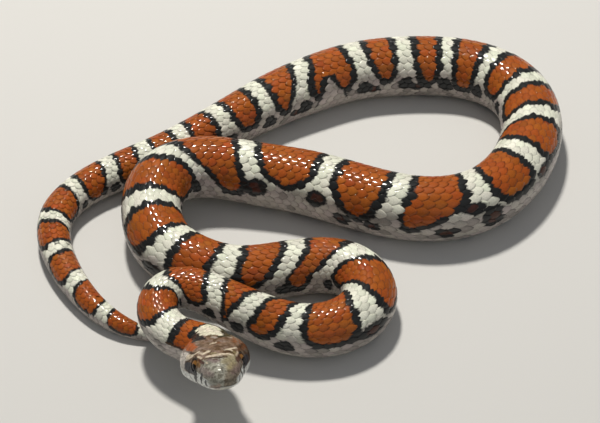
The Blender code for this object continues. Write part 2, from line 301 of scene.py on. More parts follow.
def blend(low, high, x):
    """0 below low, 1 above high, smooth between."""
    t = np.clip((x - low) / (high - low), 0, 1)
    return t * t * (3 - 2 * t)


def ring_middles(turn):
    """Where the middle of each white ring runs, for each turn in degrees."""
    table = np.array(RINGS)
    part = np.clip(np.abs(turn) / 50, 0, 1.35)[:, None]
    side = np.where(turn[:, None] > 0, table[:, 0] - table[:, 1], table[:, 2] - table[:, 1])
    return table[:, 1] + side * part ** 1.2


def body_tint(s, turn, chance):
    """Colours of the bands, flanks and belly. turn is in degrees from the back, chance 0 to 1."""
    table = np.array(RINGS)
    middles = ring_middles(turn)
    after = np.clip((middles < s[:, None]).sum(axis=1), 1, len(table) - 1)
    before = after - 1
    rows = np.arange(len(s))
    reach = np.abs(turn)
    start = middles[rows, before] + table[before, 3]
    end = middles[rows, after] - table[after, 3]
    half = np.maximum((end - start) / 2, 0.3)
    edge = 0.1 + BORDER * along(np.maximum(s, 0), 3)
    ends = np.array(SADDLE_ENDS)[np.minimum(before, len(SADDLE_ENDS) - 1)]
    drop = np.maximum(reach - STRAIGHT, 0)
    orange_drop = drop / (ends - STRAIGHT)
    black_drop = drop / (ends + BLACK_TURN - STRAIGHT)
    shifts = np.zeros(len(table))
    for which, shift in FOOT_SHIFTS:
        shifts[which] = shift
    middle = (start + end) / 2 + shifts[before] * np.clip(orange_drop, 0, 1.1)
    out = np.abs(s - middle)
    powers = np.full(len(table), SQUARENESS)
    for which, power in POINTED:
        powers[which] = power
    power = powers[before]
    inner = (out / np.maximum(half - edge, 0.2)) ** power + orange_drop ** power
    outer = (out / half) ** power + black_drop ** power
    in_saddle = (s > start) & (s < end)

    fade = blend(*PALE_FADE, reach)[:, None]
    tint = np.array(WHITE) * (1 - fade) + np.array(FLANK) * fade
    tint = tint * (1 - 0.35 * fade * (chance > 0.75)[:, None])
    tint[in_saddle & (outer < 1)] = BLACK
    tint[in_saddle & (inner < 1)] = ORANGE

    place_s, from_turn = NOTCH
    notch = np.abs(s - place_s)
    below_top = reach - from_turn
    here = (turn < 0) & (below_top > 0) & (notch < 2.2 + 0.06 * below_top)
    tint[here] = BLACK
    tint[here & (notch < 0.10 * (below_top - 6))] = FLANK

    for spot_s, spot_turn, half_s, half_turn in SPOTS:
        around = ((s - spot_s) / half_s) ** 2 + ((turn - spot_turn) / half_turn) ** 2
        tint[around < 1] = BLACK
        tint[around < 0.22] = DARK_RED
    spot_turn, half_turn, half_s = RING_SPOT
    for k, (left, back, right, _) in enumerate(RINGS[1:-6], 1):
        for side, middle_s in ((1, left), (-1, right)):
            if side > 0 and k in SPOTTED:
                continue
            small = along(back, 3) / 9
            off_s = (s - middle_s) / (half_s * small)
            off_turn = (turn * side - spot_turn) / half_turn
            tint[off_s ** 2 + off_turn ** 2 < 1] = BLACK

    head_side = s < RINGS[0][1] - RINGS[0][3]
    tint[head_side] = nape_tint(s[head_side], turn[head_side])
    tint[s > RINGS[-1][1] + 0.5] = BLACK
    return tint


def nape_tint(s, turn):
    """Colours from the nape to the first white ring: a cream spot in an orange collar."""
    reach = np.abs(turn)
    tint = np.tile(np.array(ORANGE), (len(s), 1))
    tint[s > RINGS[0][1] - RINGS[0][3] - 1.9] = BLACK
    behind = (s - 5.6 + 0.030 * turn) / 1.4
    right = (2.6 * s - 26 - turn) / 21
    left = (turn - 34 + s) / 22
    off = np.maximum(behind, np.maximum(right, left))
    tint[off < 1] = BLACK
    tint[off < 0] = CREAM
    tint[(turn > 34) & (behind < 1 - 0.02 * (turn - 34))] = OLIVE_DARK
    tint[reach > 66] = BROWN
    low = blend(76, 92, reach)[:, None]
    pale = np.array(CHEEK) * (1 - low) + np.array(FLANK) * low
    return np.where((reach > 70)[:, None], pale, tint)


def cloud(points, size, shift):
    """Smooth noise about 0 with features of this size, one value for each point."""
    away = Vector((7.3, 3.1, 1.7)) * shift
    return np.array([noise.noise(Vector(point) / size + away) for point in points])


def head_tint(f, q, base):
    """Colours of the head and how strongly each is mottled."""
    reach = np.abs(q)
    wide = cloud(base, 2.6, 1)
    middling = cloud(base, 1.2, 2)
    fine = cloud(base, 0.5, 3)
    tint = np.tile(np.array(CROWN), (len(f), 1))
    speck = np.full(len(f), 0.35)

    def lay(colour, amount, rough=0.25):
        nonlocal tint, speck
        tint = tint * (1 - amount[:, None]) + np.array(colour) * amount[:, None]
        speck = speck * (1 - amount) + rough * amount

    # Crown and snout
    lay(CROWN_GREY, 0.8 * blend(-0.05, 0.30, wide + 0.4 * fine), 0.35)
    # The crown's own dark mottling, spread further on the head's left side as painted shade
    clouds_and_left_shade = middling - 0.3 * wide + 0.4 * fine + 0.6 * np.maximum(q, 0) ** 2
    lay(CROWN_DARK, 0.95 * blend(0.05, 0.32, clouds_and_left_shade), 0.3)
    snout = blend(18.3, 19.8, f + 0.8 * middling)
    lay(SNOUT, snout, 0.5)
    # The snout browns towards its left side: partly its own colour, partly painted shade
    lay(SNOUT_BROWN, snout * blend(0.05, 0.50, q + 0.30 * wide + 0.05 * (f - 22)), 0.5)
    lay(SNOUT_DARK, 0.7 * snout * blend(0.16, 0.42, middling + 0.6 * fine), 0.5)

    # Collar on the temples: orange on the right side; on the left side a darker rust copy, partly its own
    # brownish tone and partly painted shade
    upper = 0.37 - 0.010 * (np.clip(f, 5, 11) - 5) + 0.05 * middling
    lower = 0.600 - 0.022 * (np.maximum(f, 5) - 5) + 0.02 * fine
    collar = blend(13.2, 11.0, f + 1.0 * middling) * blend(upper - 0.04, upper + 0.03, reach)
    collar = collar * blend(lower + 0.02, lower - 0.02, reach)
    lay(COLLAR, collar * (q < 0), 0.05)
    lay(RUST_AND_SHADED_COLLAR, collar * (q > 0) * blend(-0.35, 0.15, fine + middling), 0.3)
    # Cheeks, lips and the dark patch behind the eye
    below = blend(lower - 0.01, lower + 0.02, reach) * blend(14.4, 13.4, f)
    lay(BROWN, below * blend(0.80, 0.74, reach), 0.2)
    lay(CHEEK, below * (q < 0) * blend(12.2, 11.4, f), 0.2)
    below_mouth = blend(0.0, 0.2, mouth_height(f) - (base - NAPE) @ UP)
    lip = blend(0.82, 0.85, reach + 0.02 * middling) * blend(24.0, 22.8, f)
    lay(LIP, np.maximum(lip, below_mouth), 0.15)
    front_lip = blend(0.68, 0.71, reach) * blend(17.9, 18.4, f) * blend(24.2, 23.2, f + 0.8 * fine)
    lay(LIP, front_lip, 0.1)
    top = np.interp(f, [11.4, 13.0, 15.2], [0.72, 0.635, 0.605]) + 0.03 * middling
    patch = blend(top - 0.01, top + 0.015, reach) * blend(0.835, 0.805, reach + 0.04 * middling)
    lay(SLATE, patch * blend(11.3, 11.9, f + 0.6 * middling) * blend(17.6, 17.0, f), 0.1)
    lay(BELLY_PALE, blend(1.25, 1.45, reach) * below_mouth, 0.2)
    for (_, strength, colour, line), (points, widths) in zip(HEAD_STROKES, STROKE_POINTS):
        ahead = [row[0] for row in line]
        off = np.full(len(f), 9.0)
        close = (f > min(ahead) - 3) & (f < max(ahead) + 3)
        if close.any():
            off[close] = stroke_distance(base[close], points, widths)
        soft = 0.25 + 0.5 * (colour in (OLIVE, PLUM, PINK))
        lay(colour, strength * blend(1.05 + soft, 1.05 - soft, off + 0.55 * fine + 0.35 * middling), 0.3)
    # The cream spot's front and its dark edge
    side = np.maximum(-q - (0.255 - 0.012 * f), q - (0.285 - 0.018 * f)) + 0.02 * middling
    nape_black = blend(0.185, 0.165, side) * blend(8.8, 8.2, f + 4 * np.maximum(side, 0))
    nape_black = nape_black * (side > -0.05)
    lay(BLACK, nape_black * (q < 0.1), 0.1)
    lay(OLIVE_DARK, nape_black * (q >= 0.1), 0.2)
    lay(CREAM, blend(0.012, -0.012, side) * blend(6.3, 5.9, f + 9 * q * q - 5 * q + 0.5 * fine), 0.1)
    tint = tint * (1 + 0.38 * fine + 0.15 * middling)[:, None]
    return tint.clip(0, 1), speck


def skin_tint(s, turn, chance):
    """Colours at places anywhere on the snake. turn is in radians."""
    tint = body_tint(s, np.degrees(turn), chance)
    head = s < 0
    f = -s[head]
    tint[head] = head_tint(f, round_of(f, turn[head]), head_base(f, turn[head]))[0]
    return tint


def body_place(s, turn, lift):
    """Points on the body, whose round is cut flat at the belly."""
    middle, _, left, up = body_axes(s)
    girth = along(s, 3)
    across = np.sin(turn)
    rise = np.cos(turn)
    flat = blend(0.84, 0.96, -rise)
    out = unit(np.stack([across * (1 - flat), rise * (1 - flat) - flat], axis=-1))
    x = girth * across + lift * out[..., 0]
    y = np.maximum(girth * rise, -BELLY * girth) + lift * out[..., 1]
    return middle + x[..., None] * left + y[..., None] * up


def head_base(f, turn):
    """Points on the head's plain surface."""
    across, rise = head_section(np.clip(f, 0, HEAD_LENGTH), math.pi / 2 - turn)
    return head_to_course(f, across, rise)


def head_place(f, turn, lift):
    """Points lifted off the head along its normal."""
    step_f = 0.06
    step_turn = 0.02
    lengthwise = head_base(np.minimum(f + step_f, HEAD_LENGTH), turn) - head_base(f - step_f, turn)
    around = head_base(f, turn + step_turn) - head_base(f, turn - step_turn)
    normal = unit(np.cross(lengthwise, around))
    return head_base(f, turn) + lift[..., None] * normal


def place(s, turn, lift):
    """Points by distance from the nape, turn from the back in radians, and lift off the surface."""
    s, turn, lift = np.broadcast_arrays(s, turn, lift)
    points = np.empty(s.shape + (3,))
    body = s >= 0
    points[body] = body_place(s[body], turn[body], lift[body])
    points[~body] = head_place(-s[~body], turn[~body], lift[~body])
    return points


# The head's surface on a grid, to turn angles into places round it and back
GRID_F = np.linspace(0, HEAD_LENGTH, 251)
GRID_TURN = np.linspace(0, math.pi, 541)


def lip_height(f):
    """Height of the mouth line, kept on the surface where the snout ends."""
    depth = smooth_rows(HEAD_PROFILE, f)[2]
    return np.maximum(mouth_height(f), -0.95 * depth)


def mouth_there(f):
    """1 along the mouth line, 0 behind its corner and at the very tip."""
    return blend(6.3, 7.3, f) * blend(24.85, 24.5, f)


def round_table(f):
    """Place round the head, 0 crown, 1 lip, 2 chin, at each turn of GRID_TURN."""
    ff, turn = np.meshgrid(f, GRID_TURN, indexing="ij")
    across, rise = head_section(ff, math.pi / 2 - turn)
    runs = np.hypot(np.diff(across, axis=1), np.diff(rise, axis=1))
    arc = np.concatenate([np.zeros((len(f), 1)), np.cumsum(runs, axis=1)], axis=1)
    lip = lip_height(f)
    table = np.empty_like(arc)
    for row in range(len(f)):
        to_lip = np.interp(-lip[row], -rise[row], arc[row])
        rest = (arc[row] - to_lip) / (arc[row, -1] - to_lip)
        table[row] = np.where(arc[row] < to_lip, arc[row] / to_lip, 1 + rest)
    return table


GRID_ROUND = round_table(GRID_F)


def round_of(f, turn):
    """Place round the head for each distance forward and turn."""
    row = np.clip(f / HEAD_LENGTH * (len(GRID_F) - 1), 0, len(GRID_F) - 1.001)
    column = np.clip(np.abs(turn) / math.pi * (len(GRID_TURN) - 1), 0, len(GRID_TURN) - 1.001)
    i, j = row.astype(int), column.astype(int)
    a, b = row - i, column - j
    value = GRID_ROUND[i, j] * (1 - a) * (1 - b) + GRID_ROUND[i + 1, j] * a * (1 - b)
    value += GRID_ROUND[i, j + 1] * (1 - a) * b + GRID_ROUND[i + 1, j + 1] * a * b
    return value * np.where(turn < 0, -1, 1)


# How far forward the small scales reach, by place round the head
SCALE_LIMIT = [
    (0.0, 7.3), (0.22, 6.7), (0.42, 8.4), (0.60, 9.8), (0.85, 8.6), (1.0, 7.2), (1.3, 7.6), (1.6, 11.5),
    (2.0, 12.6),
]


def scale_limit(q):
    table = np.array(SCALE_LIMIT)
    return np.interp(np.abs(q), table[:, 0], table[:, 1])


# Strokes of colour on the head: which sides have it, strength, colour, and its line of
# (distance forward; place round: 0 crown, 1 lip, left positive; half width)
BOTH = (1, -1)
ONE = (1,)
HEAD_STROKES = [
    (ONE, 0.62, OLIVE, [(21.4, 0.11, 0.8), (20.0, 0.25, 1.2), (17.9, 0.36, 0.8), (21.0, 0.42, 1.0),
         (23.2, 0.27, 0.9)]),
    (BOTH, 0.55, PLUM, [(20.4, 0.55, 0.8), (22.4, 0.52, 1.0), (24.0, 0.42, 0.7)]),
    (ONE, 0.7, PLUM, [(19.6, -0.24, 0.5), (20.6, -0.13, 0.7), (20.7, -0.04, 0.5)]),
    (ONE, 0.75, MAROON, [(20.0, -0.14, 0.25), (20.2, -0.05, 0.25)]),
    (ONE, 0.6, PINK, [(23.2, -1.0, 0.4), (24.2, -0.96, 0.6), (24.7, -0.84, 0.5)]),
    (ONE, 0.9, CHEEK, [(5.0, -0.74, 1.2), (7.4, -0.68, 1.2), (9.6, -0.62, 1.05), (12.2, -0.56, 0.8)]),
    (ONE, 0.9, STREAK, [(12.2, -0.56, 0.7), (13.4, -0.53, 0.6), (14.5, -0.46, 0.34),
         (15.0, -0.33, 0.26)]),
    # Left temple in the darker rust: partly its own tone, partly painted shade
    (ONE, 0.5, RUST_AND_SHADED_COLLAR, [(9.0, 0.6, 0.7), (11.0, 0.56, 0.6), (13.0, 0.53, 0.4)]),
    (ONE, 0.7, BROWN, [(7.4, -0.575, 0.3), (9.2, -0.53, 0.3), (10.6, -0.495, 0.26), (12.2, -0.46, 0.22),
         (13.7, -0.44, 0.16)]),
    (ONE, 0.6, STREAK, [(15.3, -0.36, 0.22), (16.9, -0.31, 0.3)]),
    (ONE, 0.95, STREAK, [(17.0, -0.3, 0.32), (16.7, -0.23, 0.44), (16.3, -0.15, 0.4)]),
    (BOTH, 0.9, BROWN, [(15.5, 0.52, 0.22), (14.9, 0.47, 0.26), (15.4, 0.44, 0.24), (16.6, 0.45, 0.18)]),
    (ONE, 0.8, MAROON, [(17.9, -0.43, 0.38), (18.8, -0.435, 0.46), (19.7, -0.4, 0.34)]),
    (ONE, 0.85, MAROON, [(18.6, 0.46, 0.6), (19.8, 0.48, 0.5), (17.2, 0.5, 0.5)]),
    (ONE, 0.9, STREAK, [(16.8, -0.415, 0.26), (17.9, -0.385, 0.32)]),
    (ONE, 0.85, STREAK, [(18.8, -0.365, 0.22), (19.0, -0.36, 0.22)]),
    (ONE, 0.85, STREAK, [(20.1, -0.34, 0.26), (20.4, -0.33, 0.26)]),
    (ONE, 0.6, STREAK, [(17.1, 0.42, 0.25), (18.6, 0.41, 0.22)]),
    (ONE, 0.9, AMBER, [(17.8, -0.5, 0.4), (18.9, -0.52, 0.5)]),
    (ONE, 0.6, BROWN, [(17.4, 0.52, 0.5), (18.9, 0.53, 0.7)]),
    (ONE, 0.85, BROWN, [(19.0, -0.21, 0.16), (19.5, -0.08, 0.3), (19.55, 0.05, 0.36),
         (19.5, 0.18, 0.26)]),
    (ONE, 0.85, BROWN, [(17.3, 0.17, 0.2), (17.6, 0.25, 0.28), (18.1, 0.34, 0.28)]),
    (ONE, 0.7, OLIVE, [(17.6, -0.13, 0.42), (17.5, -0.05, 0.34)]),
    (ONE, 0.95, STREAK, [(18.3, -0.27, 0.24), (18.45, -0.12, 0.38), (18.4, -0.03, 0.38),
         (18.35, 0.08, 0.36), (18.37, 0.22, 0.3), (18.8, 0.34, 0.18)]),
    (ONE, 0.92, STREAK, [(16.7, 0.16, 0.24), (16.6, 0.24, 0.38), (16.0, 0.33, 0.3), (14.8, 0.4, 0.24)]),
    (ONE, 0.9, STREAK, [(16.7, 0.25, 0.32), (17.2, 0.31, 0.22)]),
    (ONE, 0.75, STREAK, [(12.4, -0.085, 0.26), (12.1, -0.03, 0.44), (11.6, 0.03, 0.28)]),
    (ONE, 0.75, RUST_AND_SHADED_COLLAR, [(12.4, 0.045, 0.32), (12.1, 0.095, 0.26)]),
    (ONE, 0.55, CHEEK, [(7.6, 0.01, 0.5), (8.5, 0.05, 0.5)]),
    (ONE, 0.8, STREAK, [(8.0, -0.275, 0.32), (7.5, -0.225, 0.38)]),
    (ONE, 0.8, STREAK, [(7.9, 0.26, 0.3), (8.1, 0.32, 0.32)]),
    (BOTH, 1.0, BLACK, [(16.6, 0.68, 0.7), (17.6, 0.72, 0.9), (17.5, 0.8, 0.8), (17.1, 0.9, 0.7),
         (16.7, 0.99, 0.5)]),
    (BOTH, 1.0, BLACK, [(21.1, 0.67, 0.6), (20.9, 0.78, 0.6), (20.8, 0.9, 0.36)]),
    (BOTH, 0.75, SLATE, [(22.8, 0.76, 0.3), (22.6, 0.94, 0.24)]),
]
# Faint dark seams on the upper lip and below the mouth
for start, end in [(13.9, 14.3), (11.3, 11.6)]:
    HEAD_STROKES.append((BOTH, 0.6, SLATE, [(start, 0.88, 0.12), (end, 0.99, 0.12)]))
for start, width in [(15.8, 0.25), (18.2, 0.25), (20.6, 0.22)]:
    HEAD_STROKES.append((BOTH, 0.6, SLATE, [(start, 1.05, width), (start - 0.2, 1.22, 0.2)]))

# Seams between the head's shields as lines of (distance forward, place round); both sides
SEAMS = [
    [(24.3, 0.0), (24.0, 0.35), (23.8, 0.62)],
    [(24.0, 0.0), (22.4, 0.0), (19.7, 0.0)],
    [(22.4, 0.0), (22.3, 0.42)],
    [(23.6, 0.44), (22.3, 0.42), (20.2, 0.42), (18.7, 0.40)],
    [(19.7, 0.0), (19.0, 0.16), (18.7, 0.40)],
    [(19.0, 0.16), (16.5, 0.15), (14.9, 0.11), (13.9, 0.0)],
    [(14.9, 0.11), (14.5, 0.25), (14.1, 0.43)],
    [(13.9, 0.0), (10.5, 0.0), (7.3, 0.0)],
    [(7.3, 0.0), (6.7, 0.22), (7.4, 0.40), (9.6, 0.44), (12.2, 0.46), (14.1, 0.43)],
    [(20.2, 0.42), (20.1, 0.72)],
    [(18.2, 0.70), (18.3, 0.79)],
    [(14.3, 0.59), (13.0, 0.60)],
    [(14.6, 0.70), (14.2, 0.78)],
    [(13.1, 0.45), (13.0, 0.78)],
    [(13.0, 0.61), (10.6, 0.60), (9.2, 0.60)],
    [(10.6, 0.44), (10.5, 0.79)],
    [(23.6, 0.74), (22.2, 0.74), (20.1, 0.72), (18.3, 0.74), (17.4, 0.78)],
    [(14.4, 0.79), (13.0, 0.80), (10.5, 0.80), (8.4, 0.83)],
    [(23.9, 1.30), (22.0, 1.32), (18.0, 1.30), (12.0, 1.30), (7.6, 1.24)],
    [(23.6, 1.60), (23.2, 2.0), (17.6, 2.0), (12.6, 2.0)],
    [(17.6, 1.30), (17.2, 1.65), (17.6, 2.0)],
    [(12.4, 1.35), (12.9, 1.7), (12.6, 2.0)],
]
# The seams across the upper lip, by their tops and feet, and across the lower
for start, height, end in [(22.8, 0.74, 22.9), (20.6, 0.72, 20.8), (18.5, 0.76, 18.7), (16.6, 0.80, 16.7),
                           (14.0, 0.80, 14.3), (11.3, 0.80, 11.6)]:
    SEAMS.append([(start, height), (end, 1.0)])
for start, end, foot in [(21.7, 21.4, 1.32), (19.8, 19.4, 1.30), (17.7, 17.2, 1.30), (15.4, 14.8, 1.30),
                         (12.9, 12.2, 1.30), (10.2, 9.6, 1.28)]:
    SEAMS.append([(start, 1.0), (end, foot)])
SEAM_DEPTH = 0.055
SEAM_WIDTH = 0.14
SCALED_INSET = 0.30       # how far the skin lies in under the scales
BARE_INSET = 0.02
LINE_STEP = 0.07          # between the points that stand for a seam or stroke
LINE_ROUND = 12           # length of one unit of place round the head, near enough for the step

# Relief of the skin as height, how far off its line or place, and width
LIP_RELIEF = [(-0.16, 0.0, 0.13), (0.04, 0.45, 0.3)]
EYE_RELIEF = [(-0.24, 0.0, 0.12), (0.14, 0.36, 0.2)]
NOSTRIL_RELIEF = [(-0.40, 0.0, 0.26), (0.03, 0.5, 0.2)]
HOLLOW_RELIEF = [(-0.22, 0.0, 1.4)]


def turn_at(f, q):
    """Turns that give these places round the head, one for each distance forward."""
    table = round_table(f)
    turns = [np.interp(abs(place_round), row, GRID_TURN) for place_round, row in zip(q, table)]
    return np.array(turns) * np.where(q < 0, -1, 1)


def surface_line(line, sides):
    """Points close together along a line on the head, and the half width at each if it has any."""
    places = []
    for start, end in zip(line, line[1:]):
        steps = max(2, int(math.hypot(end[0] - start[0], (end[1] - start[1]) * LINE_ROUND) / LINE_STEP))
        t = np.linspace(0, 1, steps)[:, None]
        places.append(np.array(start) * (1 - t) + np.array(end) * t)
    places = np.vstack(places)
    turns = turn_at(places[:, 0], places[:, 1])
    points = np.vstack([head_base(places[:, 0], turns * side) for side in sides])
    return points, np.tile(places[:, -1], len(sides))


STROKE_POINTS = [surface_line(line, sides) for sides, _, _, line in HEAD_STROKES]
SEAM_POINTS = np.vstack([surface_line(line, BOTH)[0] for line in SEAMS])


def nearest(points, targets):
    """Distance from each point to the nearest of many targets."""
    tree = KDTree(len(targets))
    for k, target in enumerate(targets):
        tree.insert(target, k)
    tree.balance()
    return np.array([tree.find(point)[2] for point in points])


def stroke_distance(points, targets, widths):
    """Distance from each point to a stroke, in the stroke's own half widths."""
    best = np.full(len(points), math.inf)
    for target, width in zip(targets[::3], widths[::3]):
        best = np.minimum(best, np.linalg.norm(points - target, axis=1) / width)
    return best


def near(points, spot, side):
    """Distance from each point to a place given in the head's own axes."""
    return np.linalg.norm(points - head_spot(spot, side), axis=-1)


def hill(off, width):
    """1 at no distance, falling smoothly to 0."""
    return np.exp(-(off / width) ** 2)


def relief(off, steps):
    return sum(height * hill(off - middle, width) for height, middle, width in steps)


def head_lift(f, q, base):
    """How far the skin of the head stands off the plain surface: seams, lips, eye rims, nostrils."""
    scaled = blend(-0.2, 0.5, scale_limit(q) - f)
    lift = -(BARE_INSET + (SCALED_INSET - BARE_INSET) * scaled)
    seam = nearest(base, SEAM_POINTS)
    groove = SEAM_DEPTH * hill(seam, SEAM_WIDTH) + 0.02 * np.exp(-seam / 0.4)
    lift -= groove * (1 - scaled)
    off_lip = np.abs((base - NAPE) @ UP - lip_height(f))
    lift += relief(off_lip, LIP_RELIEF) * mouth_there(f)
    for side in (1, -1):
        lift += relief(near(base, EYE_SHOWN, side) - EYE_SHOWN_RADIUS, EYE_RELIEF)
        lift += relief(near(base, NOSTRIL, side), NOSTRIL_RELIEF)
        lift += relief(near(base, EYE_HOLLOW, side), HOLLOW_RELIEF)
    return lift, seam


HEAD_ROWS = 190
UPPER_STEPS = 75          # columns from the crown to the lip
LOWER_STEPS = 55          # columns from the lip to the chin
COLUMNS_PER_BODY = 4      # head columns to one body column
BODY_RING = 1.6           # length of a ring of the body's skin
SHADE_UNDER_SCALES = 0.45       # painted shade: the skin under the scales is this much darker
# The snout's closing rings: share of the last row's size, how far ahead of it
CAP_RINGS = [(0.90, 0.05), (0.74, 0.10), (0.54, 0.14), (0.30, 0.17)]
CAP_TIP = 0.18


def add_mesh(name, points, faces, material, tint=None, values=None, uv=None, smooth=True):
    """A mesh object from points in millimetres on the course's axes, and lists of faces."""
    mesh = bpy.data.meshes.new(name)
    mesh.vertices.add(len(points))
    mesh.vertices.foreach_set("co", ((points + SHIFT) * MM).ravel())
    loops = np.concatenate([group.ravel() for group in faces])
    sizes = np.concatenate([np.full(len(group), group.shape[1]) for group in faces])
    starts = np.concatenate([[0], np.cumsum(sizes)[:-1]])
    mesh.loops.add(len(loops))
    mesh.loops.foreach_set("vertex_index", loops.astype(np.int32))
    mesh.polygons.add(len(sizes))
    mesh.polygons.foreach_set("loop_start", starts.astype(np.int32))
    mesh.update(calc_edges=True)
    mesh.validate()
    mesh.polygons.foreach_set("use_smooth", np.full(len(sizes), smooth))
    if tint is not None:
        colours = mesh.color_attributes.new("tint", "FLOAT_COLOR", "POINT")
        colours.data.foreach_set("color", np.column_stack([tint, np.ones(len(tint))]).ravel())
    for key, value in (values or {}).items():
        attribute = mesh.attributes.new(key, "FLOAT", "POINT")
        attribute.data.foreach_set("value", value)
    if uv is not None:
        layer = mesh.uv_layers.new(name="OFBake")
        layer.data.foreach_set("uv", uv[loops].ravel())
    mesh.materials.append(material)
    obj = bpy.data.objects.new(name, mesh)
    bpy.context.collection.objects.link(obj)
    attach(obj, "root")
    return obj


def build_skin(material):
    """One closed skin from the snout to the tip of the tail."""
    upper = np.arange(UPPER_STEPS) / UPPER_STEPS
    left = np.concatenate([upper, 1 + np.arange(LOWER_STEPS) / LOWER_STEPS])
    columns = np.concatenate([left, [2.0], -left[:0:-1]])
    count = len(columns)
    t = np.arange(HEAD_ROWS + 1) / HEAD_ROWS
    rows = HEAD_LENGTH * (0.55 * t + 0.45 * np.sin(t * math.pi / 2))
    table = round_table(rows)
    turns = np.array([np.interp(np.abs(columns), line, GRID_TURN) for line in table])
    turns *= np.where(columns < 0, -1, 1)
    f = np.repeat(rows, count)
    q = np.tile(columns, len(rows))
    turn = turns.ravel()
    base = head_base(f, turn)
    lift, seam = head_lift(f, q, base)
    points = head_place(f, turn, lift)
    tint, speck = head_tint(f, q, base)
    tint *= (1 - 0.28 * hill(seam, SEAM_WIDTH) * (f > scale_limit(q) - 0.3))[:, None]
    off_lip = np.abs((base - NAPE) @ UP - lip_height(f))
    # Painted shade along the crease of the mouth
    tint *= (1 - 0.5 * hill(off_lip, 0.10) * mouth_there(f))[:, None]
    # Painted shade in the gap round each eye and in each nostril
    for side in (1, -1):
        rim = hill(near(base, EYE_SHOWN, side) - EYE_SHOWN_RADIUS - 0.05, 0.22)
        hole = hill(near(base, NOSTRIL, side), 0.26)
        tint *= (1 - 0.85 * np.maximum(rim, hole))[:, None]

    index = np.arange(len(f)).reshape(len(rows), count)
    after = np.roll(index, -1, axis=1)
    faces = [np.stack([index[:-1], after[:-1], after[1:], index[1:]], axis=-1).reshape(-1, 4)]

    # The tip of the snout, closed by smaller and smaller rings
    cap = []
    last = points.reshape(len(rows), count, 3)[-1]
    middle = last.mean(axis=0)
    size = len(f)
    previous = index[-1]
    for k, (part, ahead) in enumerate(CAP_RINGS):
        cap.append(middle + (last - middle) * part + FORWARD * ahead)
        ring = size + k * count + np.arange(count)
        faces.append(np.stack([previous, np.roll(previous, -1), np.roll(ring, -1), ring], axis=-1))
        previous = ring
    cap.append((middle + FORWARD * CAP_TIP)[None])
    tip = np.full(count, size + len(CAP_RINGS) * count)
    faces.append(np.stack([previous, np.roll(previous, -1), tip], axis=-1))
    cap = np.vstack(cap)
    cap_tint = np.tile(tint.reshape(len(rows), count, 3)[-1], (len(CAP_RINGS), 1))
    cap_tint = np.vstack([cap_tint, cap_tint[-1:]])
    speck = np.concatenate([speck, np.full(len(cap), 0.8)])

    # The body, in rings with fewer columns
    ring_turns = turns[0][::COLUMNS_PER_BODY]
    places = np.arange(BODY_RING, BODY_LENGTH, BODY_RING)
    places = np.append(places[:-1], BODY_LENGTH)
    s, turn = np.meshgrid(places, ring_turns, indexing="ij")
    inset = SCALED_INSET * np.clip(along(s, 3) / 3.5, 0, 1)
    body = body_place(s, turn, -inset).reshape(-1, 3)
    # The body's skin takes the band colours, darkened as painted shade under the scales
    body_colour = body_tint(s.ravel(), np.degrees(turn.ravel()), np.zeros(s.size)) * SHADE_UNDER_SCALES
    start = size + len(cap)
    body_index = start + np.arange(s.size).reshape(s.shape)
    around = np.roll(body_index, -1, axis=1)
    quads = np.stack([body_index[:-1], body_index[1:], around[1:], around[:-1]], axis=-1)
    faces.append(quads.reshape(-1, 4))
    nape = index[0]
    for k in range(len(ring_turns)):
        head_run = [nape[(k * COLUMNS_PER_BODY + j) % count] for j in range(COLUMNS_PER_BODY + 1)]
        faces.append(np.array([head_run[::-1] + [body_index[0, k], around[0, k]]]))
    faces.append(body_index[-1][None, :])

    points = np.vstack([points, cap, body])
    tint = np.vstack([tint, cap_tint, body_colour])
    speck = np.concatenate([speck, np.full(len(body), 0.15)])
    obj = add_mesh("skin", points, faces, material, tint, {"speck": speck})
    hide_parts(*[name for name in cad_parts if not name.startswith("eye")])
    return obj


# Small scales: rows round the back in each stretch of the body
SCALES_START = -13.0
ROW_ZONES = [
    (SCALES_START, 432.0, 21), (432.0, 468.0, 17), (468.0, 500.0, 13), (500.0, 521.0, 11),
    (521.0, 536.0, 8), (536.0, 549.0, 6),
]
EXTRA_ROWS = 3            # more rows on each side under the throat
BACK_SWEEP = 284.0        # degrees of the body's round that they cover
SCALE_SIDES = 16
SCALE_LEVELS = [(0.42, 0.82), (0.78, 0.39), (1.0, -0.20)]   # ring, height of the crown there
SCALE_CROWN = 0.095
SCALE_RAMP = 0.11         # rise from one scale to the next over its own length
SCALE_THICK = 0.10
SCALE_SINK = 0.12         # how deep its root is set
SCALE_FRONT = 0.80        # reach ahead of and behind its middle, in pitches
SCALE_REAR = 0.74
SCALE_HALF_WIDTH = 0.66   # in row widths
SCALE_POWER = 1.42        # below 2 is more pointed than an ellipse
TINT_FOLLOW = 0.6         # how far a colour border may run across one scale
FULL_GIRTH = 5.0          # below this radius the scales get thinner too
SCALE_PIECES = 4
SCALE_SEED = 20
UV_LEAD = 26.0            # room in the bake map ahead of the nape
UV_ROOM = 30.0


def pitch(s):
    """Distance from one scale to the next in its row."""
    return 0.95 + 0.195 * along(np.maximum(s, 0), 3)


def pitch_steps():
    """Distances of the rings of scales from nape to tail tip."""
    steps = [SCALES_START]
    while steps[-1] < BODY_LENGTH - 1.2:
        steps.append(steps[-1] + float(pitch(steps[-1])))
    return np.array(steps)


